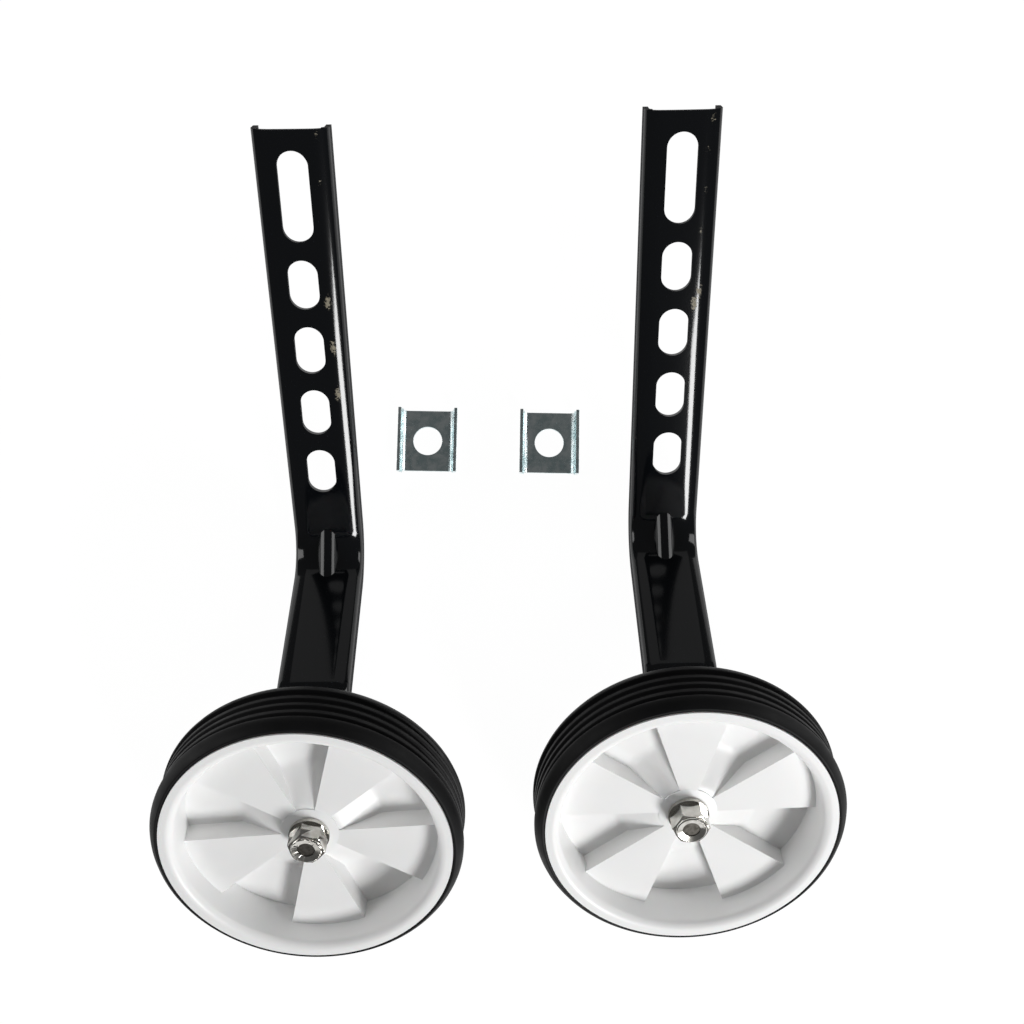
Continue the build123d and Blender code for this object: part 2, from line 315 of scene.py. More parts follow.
@dataclass(frozen=True)
class Zinc:
    """Electroplated zinc on steel: a metal with clouded spangle and fine drawn lines."""

    name: str
    colour: str
    cloud_colour: str
    roughness: tuple[float, float]
    cloud_mm: float
    line_mm: float
    line_depth_mm: float
    cloud_range: tuple[float, float] = (0.38, 0.62)
    line_draw: tuple[float, float, float] = (1.0, 0.06, 1.0)
    line_strength: float = 0.2

    def material(self) -> bpy.types.Material:
        """Make the plated finish.

        Returns:
            The material.
        """
        material, shader, place = start_material(self.name)
        tree = material.node_tree
        cloud = add_node(tree, "ShaderNodeTexNoise",
                         {"Scale": per_mm(self.cloud_mm), "Detail": 5.0, "Roughness": 0.6},
                         {"Vector": place})
        drawn = add_node(tree, "ShaderNodeMapping", {"Scale": self.line_draw}, {"Vector": place})
        lines = add_node(tree, "ShaderNodeTexNoise", {"Scale": per_mm(self.line_mm), "Detail": 2.0},
                         {"Vector": drawn.outputs[0]})
        (low, high), (sleek, dull) = self.cloud_range, self.roughness
        patch = add_node(tree, "ShaderNodeMapRange", {1: low, 2: high, 3: 0.0, 4: 1.0},
                         {0: cloud.outputs[0]})
        skin = add_node(tree, "ShaderNodeMix",
                        {"data_type": "RGBA", 6: linear(self.colour), 7: linear(self.cloud_colour)},
                        {0: patch.outputs[0]})
        gloss = add_node(tree, "ShaderNodeMapRange", {1: 0.0, 2: 1.0, 3: sleek, 4: dull},
                         {0: patch.outputs[0]})
        bump = add_node(tree, "ShaderNodeBump",
                        {"Strength": self.line_strength, "Distance": self.line_depth_mm * MM},
                        {"Height": lines.outputs[0]})
        set_shader(tree, shader, {"Metallic": 1.0},
                   {"Base Color": skin.outputs[2], "Roughness": gloss.outputs[0],
                    "Normal": bump.outputs[0]})
        return material


# The grain and the drawn lines below are coarser than the real ones, which are too fine to show.
# Injection-moulded polypropylene: milky white, with a soft, low gloss and light that bleeds into edges.
WHITE_POLYPROPYLENE = Moulding(
    "white_polypropylene_moulding", colour="#f7f7f6", flow_colour="#f0f0f0", roughness=(0.34, 0.44),
    flow_mm=28.0, grain_mm=0.8, grain_depth_mm=0.01, scatter=0.04)
# Moulded tyre compound: almost black, its ribs told apart only by a dim satin sheen.
BLACK_TYRE = Moulding(
    "black_moulded_tyre", colour="#070708", flow_colour="#0e0e0f", roughness=(0.5, 0.62),
    flow_mm=9.0, grain_mm=0.6, grain_depth_mm=0.03, sheen_level=0.18)
# Bright plate on nuts and washers: a silvery mirror with faint clouds.
BRIGHT_ZINC = Zinc(
    "bright_zinc_hardware", colour="#d5d3ce", cloud_colour="#bdbab3", roughness=(0.14, 0.24),
    cloud_mm=4.0, line_mm=0.5, line_depth_mm=0.004)
# Worn plate on a cropped bolt: dark, blotched grey without mirror light.
DULL_ZINC = Zinc(
    "dull_zinc_bolt_end", colour="#6a6762", cloud_colour="#47443f", roughness=(0.35, 0.55),
    cloud_mm=1.6, line_mm=0.5, line_depth_mm=0.01)
# Blue-white plate on rolled sheet: cool and spangled, half glossy.
SHEET_ZINC = Zinc(
    "blue_white_zinc_sheet", colour="#f0fafb", cloud_colour="#c2d5d7", roughness=(0.2, 0.3),
    cloud_mm=3.5, line_mm=0.6, line_depth_mm=0.004)


def bake(shape: bmesh.types.BMesh, kind: str, tool: bmesh.types.BMesh | None = None,
         **settings: Any) -> bmesh.types.BMesh:
    """Apply one modifier to a loose shape.

    Args:
        shape: The shape, which is used up.
        kind: Modifier type.
        tool: Second shape of a Boolean, used up as well.
        **settings: The modifier's settings.

    Returns:
        The changed shape.
    """
    bench = bpy.context.scene.collection.objects
    made = []
    for part in filter(None, (shape, tool)):
        mesh = bpy.data.meshes.new("blank")
        part.to_mesh(mesh)
        part.free()
        made.append(bpy.data.objects.new("blank", mesh))
        bench.link(made[-1])
    modifier = made[0].modifiers.new("work", kind)
    for key, value in settings.items():
        setattr(modifier, key, value)
    if tool is not None:
        modifier.object = made[1]
    graph = bpy.context.evaluated_depsgraph_get()
    mesh = bpy.data.meshes.new_from_object(made[0].evaluated_get(graph))
    result = bmesh.new()
    result.from_mesh(mesh)
    bpy.data.meshes.remove(mesh)
    for piece in made:
        bpy.data.meshes.remove(piece.data)
    return result


def join(target: bmesh.types.BMesh, other: bmesh.types.BMesh) -> None:
    """Put a second shape into the first.

    Args:
        target: Shape that takes the other.
        other: The second shape, which is used up.
    """
    mesh = bpy.data.meshes.new("blank")
    other.to_mesh(mesh)
    other.free()
    target.from_mesh(mesh)
    bpy.data.meshes.remove(mesh)


def chain(shape: bmesh.types.BMesh, points: Iterable[tuple[float, float, float]],
          closed: bool) -> list[bmesh.types.BMEdge]:
    """Draw a line of edges.

    Args:
        shape: Shape that takes the line.
        points: The line's points.
        closed: Whether the last point joins the first.

    Returns:
        The line's edges.
    """
    verts = [shape.verts.new(point) for point in points]
    after = verts[1:] + verts[:1] if closed else verts[1:]
    return [shape.edges.new(pair) for pair in zip(verts, after)]


def ends_of(edges: Iterable[bmesh.types.BMEdge]) -> list[bmesh.types.BMVert]:
    """The vertices of some edges, each once."""
    return list({vert: None for edge in edges for vert in edge.verts})


def draw_out(shape: bmesh.types.BMesh, edges: list[bmesh.types.BMEdge],
             step: Vector) -> list[bmesh.types.BMEdge]:
    """Extrude a line of edges straight along a step.

    Args:
        shape: The shape.
        edges: The line.
        step: How far and which way.

    Returns:
        The line at the far end.
    """
    made = bmesh.ops.extrude_edge_only(shape, edges=edges)["geom"]
    verts = [item for item in made if isinstance(item, bmesh.types.BMVert)]
    bmesh.ops.translate(shape, verts=verts, vec=step)
    fresh = set(verts)
    return [item for item in made
            if isinstance(item, bmesh.types.BMEdge) and fresh.issuperset(item.verts)]


def sweep_round(shape: bmesh.types.BMesh, edges: list[bmesh.types.BMEdge], centre: Vector, axis: Vector,
                degrees: float, steps: int) -> list[bmesh.types.BMEdge]:
    """Turn a line of edges about an axis.

    Args:
        shape: The shape.
        edges: The line.
        centre: A point of the axis.
        axis: The axis, by the right-hand rule.
        degrees: The turn.
        steps: Faces along the turn.

    Returns:
        The line at the far end.
    """
    made = bmesh.ops.spin(shape, geom=ends_of(edges) + edges, cent=centre, axis=axis,
                          angle=math.radians(degrees), steps=steps, use_merge=False)["geom_last"]
    return [item for item in made if isinstance(item, bmesh.types.BMEdge)]


def turned(profile: Iterable[tuple[float, float]], steps: int = RING_STEPS) -> bmesh.types.BMesh:
    """Turn a closed profile of radius and height into a ring about z.

    Args:
        profile: Corners as radius and height.
        steps: Faces round the ring.

    Returns:
        The closed ring.
    """
    shape = bmesh.new()
    edges = chain(shape, [(radius, 0.0, height) for radius, height in profile], closed=True)
    bmesh.ops.spin(shape, geom=ends_of(edges) + edges, cent=(0, 0, 0), axis=(0, 0, 1),
                   angle=math.tau, steps=steps, use_merge=True)
    bmesh.ops.remove_doubles(shape, verts=shape.verts, dist=WELD)
    bmesh.ops.recalc_face_normals(shape, faces=shape.faces)
    return shape


def capsule(length: float, width: float, low: float, high: float) -> bmesh.types.BMesh:
    """A round-ended bar that stands along z, long side along y.

    Args:
        length: End-to-end length.
        width: Width.
        low: Lower end.
        high: Upper end.

    Returns:
        The closed bar.
    """
    shape = bmesh.new()
    bmesh.ops.create_circle(shape, cap_ends=True, segments=HOLE_STEPS, radius=width / 2)
    shift = (length - width) / 2
    for vert in shape.verts:
        vert.co.y += shift if vert.co.y > 0 else -shift
    bmesh.ops.translate(shape, verts=shape.verts, vec=(0, 0, low))
    raised = bmesh.ops.extrude_face_region(shape, geom=shape.faces[:])["geom"]
    tops = [item for item in raised if isinstance(item, bmesh.types.BMVert)]
    bmesh.ops.translate(shape, verts=tops, vec=(0, 0, high - low))
    bmesh.ops.recalc_face_normals(shape, faces=shape.faces)
    return shape


def block(width: float, length: float, height: float) -> bmesh.types.BMesh:
    """A plain block about the origin.

    Args:
        width: Size along x.
        length: Size along y.
        height: Size along z.

    Returns:
        The closed block.
    """
    shape = bmesh.new()
    bmesh.ops.create_cube(shape, size=1.0)
    bmesh.ops.scale(shape, verts=shape.verts, vec=(width, length, height))
    return shape


def put(shape: bmesh.types.BMesh, name: str, place: Matrix, material: bpy.types.Material, body: str,
        node: str, ease_mm: float) -> None:
    """Turn a finished shape into a piece that stands for a CAD node.

    Args:
        shape: The shape in millimetres, in its own frame, which is used up.
        name: The piece's name.
        place: From the shape's frame to the row's.
        material: The finish.
        body: Body that the piece moves with.
        node: CAD node that it stands for.
        ease_mm: Width of the eased edges.
    """
    shape.transform(place @ Matrix.Scale(MM, 4))
    mesh = bpy.data.meshes.new(name)
    shape.to_mesh(mesh)
    shape.free()
    mesh.polygons.foreach_set("use_smooth", [True] * len(mesh.polygons))
    mesh.materials.append(material)
    piece = bpy.data.objects.new(name, mesh)
    bpy.context.scene.collection.objects.link(piece)
    ease = piece.modifiers.new("eased_edges", "BEVEL")
    ease.width = ease_mm * MM
    ease.segments = EASED_EDGE_STEPS
    ease.limit_method = "ANGLE"
    ease.angle_limit = math.radians(EASED_EDGE_ANGLE)
    ease.use_clamp_overlap = True
    even = piece.modifiers.new("even_light", "WEIGHTED_NORMAL")
    even.keep_sharp = True
    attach(piece, body)
    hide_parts(node)
    LOG.info("%s rides on %s", name, body)


def dress(node: str, material: bpy.types.Material) -> None:
    """Give a CAD node that is shown as it is its finish.

    Args:
        node: The node's name.
        material: The finish.
    """
    piece = frame["nodes"][node]
    piece.data.materials.clear()
    piece.data.materials.append(material)
    LOG.info("%s is dressed in %s", node, material.name)


@dataclass
class ArmFrame:
    """Where one half of the set lies: the arm's own frame, read from its wheel joint.

    The frame's x runs across the arm, y up the slotted leg and z outward, with the origin on the
    outer face at the first short slot.
    """

    side: Side
    wheel_out_mm: float = 97.1

    def matrix(self) -> Matrix:
        """Work out the frame from the wheel's joint.

        Returns:
            The frame's place in the row, without scale.
        """
        joint = next(j for j in frame["joints"] if j["name"] == f"{self.side.value}_wheel_spin")
        out = Vector(joint["axis"]).normalized()
        across = Vector((-out.y, out.x, 0.0)).normalized()
        up = out.cross(across)
        turn = Matrix((across, up, out)).transposed()
        wheel = Vector((0.0, AXLE_Y, self.wheel_out_mm)) * MM
        origin = Vector(joint["pos_m"]) - turn @ wheel
        return Matrix.Translation(origin) @ turn.to_4x4()

    def point(self, x: float, y: float, z: float) -> Vector:
        """A point of the arm's frame, given in millimetres, in the row's metres."""
        return self.matrix() @ (Vector((x, y, z)) * MM)

    def name(self, part: str) -> str:
        """A part's name on this side."""
        return f"{self.side.value}_{part}"


@dataclass
class ChannelArm:
    """Cranked arm pressed from one steel sheet, with its row of axle slots and a stiffened bend."""

    width: float = 29.5
    sheet: float = 2.0
    flange: float = 9.0
    crown: float = 0.5
    corner: float = 3.0
    shoulder: float = 14.0
    shoulder_turn: float = 25.0
    slot_width: float = 12.0
    long_slot: float = 34.4
    short_slot: float = 19.7
    pitch: float = 27.0
    short_slots: int = 4
    long_step: float = 34.1
    web_end: float = 58.9
    ear: float = 0.3
    bend_y: float = -122.0
    crank: float = 71.6
    bend_radius: float = 16.0
    knee_radius: float = 12.0
    tab_z: float = 71.6
    tab_end: float = -206.0
    bolt_hole: float = 8.3
    gusset_radius: float = 4.4
    gusset_reach: float = 5.2
    gusset_wall: float = 1.9
    edge_ease: float = 0.35
    corner_steps: int = 8
    shoulder_steps: int = 6
    web_steps: int = 8
    bend_steps: int = 16
    gusset_steps: int = 64

    def section(self) -> list[tuple[float, float]]:
        """Draw the channel's outer line: flange, tight corner, wide shoulder and crowned web.

        Returns:
            Points from one flange edge to the other, as across and outward.
        """
        half = self.width / 2
        spare = self.shoulder - self.corner
        turn = math.radians(self.shoulder_turn)
        flat = half - self.corner - spare * math.sin(turn)
        middle = -self.crown * (flat / half) ** 2 - self.shoulder
        side = [(half, -self.flange)]
        for i in range(self.corner_steps + 1):
            tilt = math.pi / 2 + (turn - math.pi / 2) * i / self.corner_steps
            side.append((half - self.corner + self.corner * math.sin(tilt),
                         middle + spare * math.cos(turn) + self.corner * math.cos(tilt)))
        for i in range(1, self.shoulder_steps + 1):
            tilt = turn * (1 - i / self.shoulder_steps)
            side.append((flat + self.shoulder * math.sin(tilt), middle + self.shoulder * math.cos(tilt)))
        across = [flat * k / self.web_steps for k in range(self.web_steps - 1, -self.web_steps, -1)]
        web = [(x, -self.crown * (x / half) ** 2) for x in across]
        mirrored = [(-x, z) for x, z in reversed(side)]
        return side + web + mirrored

    def sheet_shape(self) -> bmesh.types.BMesh:
        """Sweep the channel along its two bends and give it the sheet's thickness.

        Returns:
            The arm before it is pierced.
        """
        shape = bmesh.new()
        top = self.web_end + self.ear
        half_turn = math.tan(math.radians(self.crank / 2))
        reach, knee_reach = self.bend_radius * half_turn, self.knee_radius * half_turn
        knee_y = self.bend_y - self.tab_z / math.tan(math.radians(self.crank))
        rise = self.tab_z / math.sin(math.radians(self.crank)) - reach - knee_reach
        out = Vector((0.0, -math.cos(math.radians(self.crank)), math.sin(math.radians(self.crank))))
        line = chain(shape, [(x, top, z) for x, z in self.section()], closed=False)
        line = draw_out(shape, line, Vector((0.0, self.bend_y + reach - top, 0.0)))
        bend = Vector((0.0, self.bend_y + reach, self.bend_radius))
        line = sweep_round(shape, line, bend, Vector((-1, 0, 0)), self.crank, self.bend_steps)
        line = draw_out(shape, line, out * rise)
        knee = Vector((0.0, knee_y - knee_reach, self.tab_z - self.knee_radius))
        line = sweep_round(shape, line, knee, Vector((1, 0, 0)), self.crank, self.bend_steps)
        draw_out(shape, line, Vector((0.0, self.tab_end - knee_y + knee_reach, 0.0)))
        bmesh.ops.remove_doubles(shape, verts=shape.verts, dist=WELD)
        bmesh.ops.recalc_face_normals(shape, faces=shape.faces)
        middles = {face: face.calc_center_median() for face in shape.faces}
        highest = max(shape.faces, key=lambda face: middles[face].z - abs(middles[face].x))
        if highest.normal.z < 0:
            bmesh.ops.reverse_faces(shape, faces=shape.faces)
        return bake(shape, "SOLIDIFY", thickness=self.sheet, offset=-1.0, use_even_offset=True)

    def piercings(self) -> bmesh.types.BMesh:
        """Gather what is cut from the sheet.

        Returns:
            The axle slots, the bolt hole and the step between the flange corners.
        """
        low, high = -2 * self.sheet, self.sheet
        tool = capsule(self.long_slot, self.slot_width, low, high)
        bmesh.ops.translate(tool, verts=tool.verts, vec=(0, self.long_step, 0))
        for i in range(self.short_slots):
            slot = capsule(self.short_slot, self.slot_width, low, high)
            bmesh.ops.translate(slot, verts=slot.verts, vec=(0, -i * self.pitch, 0))
            join(tool, slot)
        hole = capsule(self.bolt_hole, self.bolt_hole, self.tab_z + low, self.tab_z + high)
        bmesh.ops.translate(hole, verts=hole.verts, vec=(0, AXLE_Y, 0))
        join(tool, hole)
        step = block(self.width - 3 * self.sheet, 2 * self.ear, 3 * self.sheet)
        bmesh.ops.translate(step, verts=step.verts, vec=(0, self.web_end + self.ear, -self.sheet))
        join(tool, step)
        return tool

    def gusset(self, radius: float, behind: float) -> bmesh.types.BMesh:
        """Round bar across the inside of the first bend, cut off behind the sheet's outer faces.

        Args:
            radius: The bar's radius.
            behind: How far behind the outer faces it is cut.

        Returns:
            The closed bar.
        """
        lean = math.radians(self.crank / 2)
        depth = self.gusset_reach * math.sin(lean)
        shape = bmesh.new()
        bmesh.ops.create_cone(shape, cap_ends=True, segments=self.gusset_steps, radius1=radius,
                              radius2=radius, depth=self.width * 2)
        tip = Matrix.Rotation(math.pi / 2 - lean, 3, "X")
        bmesh.ops.rotate(shape, verts=shape.verts, cent=(0, 0, 0), matrix=tip)
        centre = (0.0, self.bend_y + depth * math.sin(lean), depth * math.cos(lean))
        bmesh.ops.translate(shape, verts=shape.verts, vec=centre)
        corner = Vector((0.0, self.bend_y, 0.0))
        for normal in (Vector((0, 0, 1)), Vector((0, math.sin(2 * lean), math.cos(2 * lean)))):
            whole = shape.verts[:] + shape.edges[:] + shape.faces[:]
            cut = bmesh.ops.bisect_plane(shape, geom=whole, plane_co=corner - normal * behind,
                                         plane_no=normal, clear_inner=True)
            rim = [item for item in cut["geom_cut"] if isinstance(item, bmesh.types.BMEdge)]
            bmesh.ops.holes_fill(shape, edges=rim)
        bmesh.ops.recalc_face_normals(shape, faces=shape.faces)
        return shape

    def build(self, place: ArmFrame, enamel: bpy.types.Material) -> None:
        """Press, pierce and enamel one arm.

        Args:
            place: The half of the set.
            enamel: The arm's finish.
        """
        rib = self.gusset(self.gusset_radius, self.sheet / 2)
        shape = bake(self.sheet_shape(), "BOOLEAN", rib, operation="UNION", solver="EXACT")
        tools = self.piercings()
        join(tools, self.gusset(self.gusset_radius - self.gusset_wall, 2 * self.sheet))
        shape = bake(shape, "BOOLEAN", tools, operation="DIFFERENCE", solver="EXACT")
        put(shape, place.name("arm_pressing"), place.matrix(), enamel, "arms",
            place.name("arm"), self.edge_ease)


@dataclass
class RoadWheel:
    """Moulded white wheel with stepped panels, and the ribbed black tyre pushed on to its rim."""

    lip_z: float = 110.6
    lip_radius: float = 56.6
    lip_thickness: float = 2.5
    lip_round: float = 3.4
    bed_radius: float = 53.2
    rim_inside: float = 50.9
    rim_waist: float = 49.9
    wheel_width: float = 27.0
    panels: int = 5
    panel_arc: float = 35.0
    front_z: float = -10.5
    rear_z: float = -19.5
    ramp_end: float = 28.0
    ramp_start: float = 0.05  # Share of the drop that is left at the boss
    panel_root: float = 1.5
    panel_bite: float = 1.0
    wall: float = 2.2
    boss_radius: float = 11.5
    boss_step: float = 0.03
    boss_land: float = 8.4
    boss_front: float = -9.9
    boss_rear: float = -28.6
    bore_radius: float = 6.08
    tyre_radius: float = 60.7
    tyre_edge: float = 0.6
    shoulder: tuple[tuple[float, float], ...] = ((57.9, 0.3), (59.2, 1.5), (60.2, 3.2))
    crest: float = 4.6
    rib_radius: float = 60.2
    groove_radius: float = 58.9
    groove_width: float = 1.3
    grooves: tuple[float, ...] = (7.0, 11.4)
    seat_gap: float = 0.05
    weld: float = 1e-3
    moulding_ease: float = 0.7
    tyre_ease: float = 0.3
    reach_steps: int = 20
    arc_steps: int = 8
    mouth_steps: int = 8
    boss_steps: int = 72
    tyre_steps: int = 192

    def recess(self, radius: float) -> float:
        """Find how high a recessed panel, which climbs toward the boss, is at a radius.

        Args:
            radius: Distance from the axle.

        Returns:
            Height below the outer lip.
        """
        run = (radius - self.boss_radius) / (self.ramp_end - self.boss_radius)
        run = min(1.0, max(self.ramp_start, run))
        return self.front_z + (self.rear_z - self.front_z) * run

    def corrugation(self, phase: float) -> bmesh.types.BMesh:
        """One stepped sheet: panels forward and back by turns, joined by radial walls.

        Args:
            phase: Direction of the first forward panel, in degrees.

        Returns:
            The sheet with its wall thickness.
        """
        shape = bmesh.new()
        inner, outer = self.boss_radius - self.panel_root, self.rim_waist + self.panel_bite
        turn = Vector((0, 0, 1))
        reach = [inner + (outer - inner) * i / self.reach_steps for i in range(self.reach_steps + 1)]
        line = chain(shape, [(radius, 0.0, self.front_z) for radius in reach], closed=False)
        start = Matrix.Rotation(math.radians(phase - self.panel_arc / 2), 3, "Z")
        bmesh.ops.rotate(shape, verts=shape.verts, cent=(0, 0, 0), matrix=start)
        gap_arc = 360 / self.panels - self.panel_arc
        for _ in range(self.panels):
            line = sweep_round(shape, line, Vector(), turn, self.panel_arc, self.arc_steps)
            line = draw_out(shape, line, Vector())
            for vert in ends_of(line):
                vert.co.z = self.recess(vert.co.xy.length)
            line = sweep_round(shape, line, Vector(), turn, gap_arc, self.arc_steps)
            line = draw_out(shape, line, Vector())
            for vert in ends_of(line):
                vert.co.z = self.front_z
        bmesh.ops.remove_doubles(shape, verts=shape.verts, dist=self.weld)
        bmesh.ops.recalc_face_normals(shape, faces=shape.faces)
        if sum(face.normal.z for face in shape.faces) < 0:
            bmesh.ops.reverse_faces(shape, faces=shape.faces)
        return bake(shape, "SOLIDIFY", thickness=self.wall, offset=-1.0, use_even_offset=True)

    def moulding(self, phase: float) -> bmesh.types.BMesh:
        """Join rim, boss and panels, with z at the outer lip.

        Args:
            phase: Direction of the first forward panel, in degrees.

        Returns:
            The wheel's shape.
        """
        back, lip, ease = -self.wheel_width, self.lip_thickness, self.lip_round
        bends = [math.radians(90 * i / self.mouth_steps) for i in range(self.mouth_steps + 1)]
        mouth = [(self.rim_inside + ease * (1 - math.cos(a)), -ease * (1 - math.sin(a))) for a in bends]
        shape = turned(mouth + [
            (self.lip_radius, 0), (self.lip_radius, -lip), (self.bed_radius, -lip),
            (self.bed_radius, back + lip), (self.lip_radius, back + lip), (self.lip_radius, back)]
            + [(radius, back - height) for radius, height in reversed(mouth)]
            + [(self.rim_waist, back / 2)])
        join(shape, turned([
            (self.bore_radius, self.boss_front), (self.boss_land, self.boss_front),
            (self.boss_radius, self.front_z + self.boss_step), (self.boss_radius, self.boss_rear),
            (self.bore_radius, self.boss_rear)], self.boss_steps))
        join(shape, self.corrugation(phase))
        return shape

    def tyre(self) -> bmesh.types.BMesh:
        """Turn the grooved band, with z at the outer lip.

        Returns:
            The tyre's shape.
        """
        key, cap = self.bed_radius + self.seat_gap, self.lip_radius + self.seat_gap
        ledge, half_groove = self.lip_thickness + self.seat_gap, self.groove_width / 2
        half = [(key, ledge), (cap, ledge), (cap, self.tyre_edge), *self.shoulder,
                (self.tyre_radius, self.crest)]
        top = self.tyre_radius
        for groove in self.grooves:
            half += [(top, groove - self.groove_width), (self.groove_radius, groove - half_groove),
                     (self.groove_radius, groove + half_groove),
                     (self.rib_radius, groove + self.groove_width)]
            top = self.rib_radius
        profile = [(r, -z) for r, z in half] + [(r, z - self.wheel_width) for r, z in reversed(half)]
        return turned(profile, self.tyre_steps)

    def build(self, place: ArmFrame, phase: float, white: bpy.types.Material,
              black: bpy.types.Material) -> None:
        """Mould one wheel and push its tyre on.

        Args:
            place: The half of the set.
            phase: Direction of a forward panel, in degrees.
            white: The moulding's finish.
            black: The tyre's finish.
        """
        seat = place.matrix() @ Matrix.Translation(Vector((0, AXLE_Y, self.lip_z)) * MM)
        body = place.name("roller")
        put(self.moulding(phase), place.name("wheel_moulding"), seat, white, body,
            place.name("wheel"), self.moulding_ease)
        put(self.tyre(), place.name("tyre_band"), seat, black, body,
            place.name("tyre"), self.tyre_ease)


@dataclass
class AxleHardware:
    """Bolt, nuts, washers and sleeve that carry the wheel.

    The collar's edge is given as steps inward and down from its top corner.
    """

    nut_z: float = 102.6
    across_flats: float = 13.0
    hex_height: float = 7.2
    nut_height: float = 8.0
    corner_slope: float = 1.75
    collar_radius: float = 6.1
    collar_sink: float = 0.8
    collar_edge: tuple[tuple[float, float], ...] = ((0.0, 0.7), (0.2, 0.25), (0.6, 0.0))
    mouth_radius: float = 3.4
    mouth_drop: float = 0.65
    bolt_hole: float = 4.15
    bolt_end: float = 7.1  # Just clear of the bolt
    seam: float = 0.05
    edge_ease: float = 0.18
    corner_steps: int = 96
    collar_steps: int = 72
    plated: tuple[str, ...] = ("outer_washer", "inner_washer", "sleeve", "jam_nut", "spring_washer")

    def lock_nut(self, turn: float) -> bmesh.types.BMesh:
        """Bored hexagon with eased corners under a round collar that is dished round the bolt's end.

        Args:
            turn: Turn of the hexagon about the axle, in degrees.

        Returns:
            The nut, standing on z zero.
        """
        corner = self.across_flats / math.sqrt(3)
        shape = bmesh.new()
        spin = Matrix.Rotation(math.radians(turn), 4, "Z")
        bmesh.ops.create_cone(shape, cap_ends=True, segments=6, radius1=corner, radius2=corner,
                              depth=self.hex_height, matrix=spin)
        ease = bmesh.new()
        flat = self.across_flats / 2
        bmesh.ops.create_cone(ease, cap_ends=True, segments=self.corner_steps, depth=self.hex_height,
                              radius1=flat + self.corner_slope * self.hex_height, radius2=flat)
        shape = bake(shape, "BOOLEAN", ease, operation="INTERSECT", solver="EXACT")
        bmesh.ops.translate(shape, verts=shape.verts, vec=(0, 0, self.hex_height / 2))
        across = 2 * self.bolt_hole
        bore = capsule(across, across, -self.hex_height, 2 * self.hex_height)
        shape = bake(shape, "BOOLEAN", bore, operation="DIFFERENCE", solver="EXACT")
        low, high, hole = self.hex_height - self.collar_sink, self.nut_height, self.bolt_hole + self.seam
        edge = [(self.collar_radius - inward, high - down) for inward, down in self.collar_edge]
        join(shape, turned([
            (hole, low), (self.collar_radius, low), *edge, (self.mouth_radius, high - self.mouth_drop),
            (self.mouth_radius, self.bolt_end), (hole, self.bolt_end)], self.collar_steps))
        return shape

    def build(self, place: ArmFrame, turn: float, bright: bpy.types.Material,
              dull: bpy.types.Material) -> None:
        """Make the lock nut and plate the rest of the hardware.

        Args:
            place: The half of the set.
            turn: Turn of the lock nut, in degrees.
            bright: Finish of nuts, washers and sleeve.
            dull: Finish of the bolt.
        """
        seat = place.matrix() @ Matrix.Translation(Vector((0, AXLE_Y, self.nut_z)) * MM)
        put(self.lock_nut(turn), place.name("lock_nut_body"), seat, bright, "arms",
            place.name("lock_nut"), self.edge_ease)
        dress(place.name("axle_bolt"), dull)
        for part in self.plated:
            dress(place.name(part), bright)


@dataclass
class LocatingPlate:
    """Small folded plate with an axle hole, lying on the floor."""

    width: float = 26.6
    length: float = 29.0
    sheet: float = 1.4
    height: float = 6.0
    fold: float = 4.4
    hole: float = 13.0
    notch: float = 0.7
    turn: float = -1.0
    edge_ease: float = 0.45
    fold_steps: int = 8

    def shape(self) -> bmesh.types.BMesh:
        """Fold the sheet, pierce it and step its ends.

        Returns:
            The plate, standing on z zero.
        """
        shape = bmesh.new()
        half = self.width / 2
        side = [(half, self.height)]
        for i in range(self.fold_steps + 1):
            bend = math.radians(90 * i / self.fold_steps)
            side.append((half - self.fold + self.fold * math.cos(bend),
                         self.fold - self.fold * math.sin(bend)))
        line = chain(shape, [(x, -self.length / 2, z) for x, z in side]
                     + [(-x, -self.length / 2, z) for x, z in reversed(side)], closed=False)
        draw_out(shape, line, Vector((0, self.length, 0)))
        bmesh.ops.recalc_face_normals(shape, faces=shape.faces)
        lowest = min(shape.faces, key=lambda face: face.calc_center_median().z)
        if lowest.normal.z > 0:
            bmesh.ops.reverse_faces(shape, faces=shape.faces)
        shape = bake(shape, "SOLIDIFY", thickness=self.sheet, offset=-1.0, use_even_offset=True)
        tool = capsule(self.hole, self.hole, -self.sheet, 2 * self.sheet)
        for end in (-1, 1):
            step = block(self.width - 3 * self.sheet, 2 * self.notch, 3 * self.sheet)
            bmesh.ops.translate(step, verts=step.verts, vec=(0, end * self.length / 2, self.sheet / 2))
            join(tool, step)
        return bake(shape, "BOOLEAN", tool, operation="DIFFERENCE", solver="EXACT")

    def build(self, side: Side, zinc: bpy.types.Material) -> None:
        """Fold one plate and plate it.

        Args:
            side: The half of the set.
            zinc: The plate's finish.
        """
        node = f"{side.value}_plate"
        low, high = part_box(node)
        middle = (low + high) / 2
        middle.z = low.z
        place = Matrix.Translation(middle) @ Matrix.Rotation(math.radians(self.turn), 4, "Z")
        put(self.shape(), f"{node}_folded", place, zinc, "arms", node, self.edge_ease)


@dataclass(frozen=True)
class SoftBox:
    """One soft lamp that faces the middle of the set, in metres and watts."""

    name: str
    at: tuple[float, float, float]
    size: tuple[float, float]
    power: float

    def hang(self) -> None:
        """Hang the lamp in its place."""
        light = bpy.data.lights.new(self.name, "AREA")
        light.shape = "RECTANGLE"
        light.size, light.size_y = self.size
        light.energy = self.power
        lamp = bpy.data.objects.new(self.name, light)
        lamp.location = self.at
        lamp.rotation_euler = (-Vector(self.at)).to_track_quat("-Z", "Y").to_euler()
        bpy.context.scene.collection.objects.link(lamp)


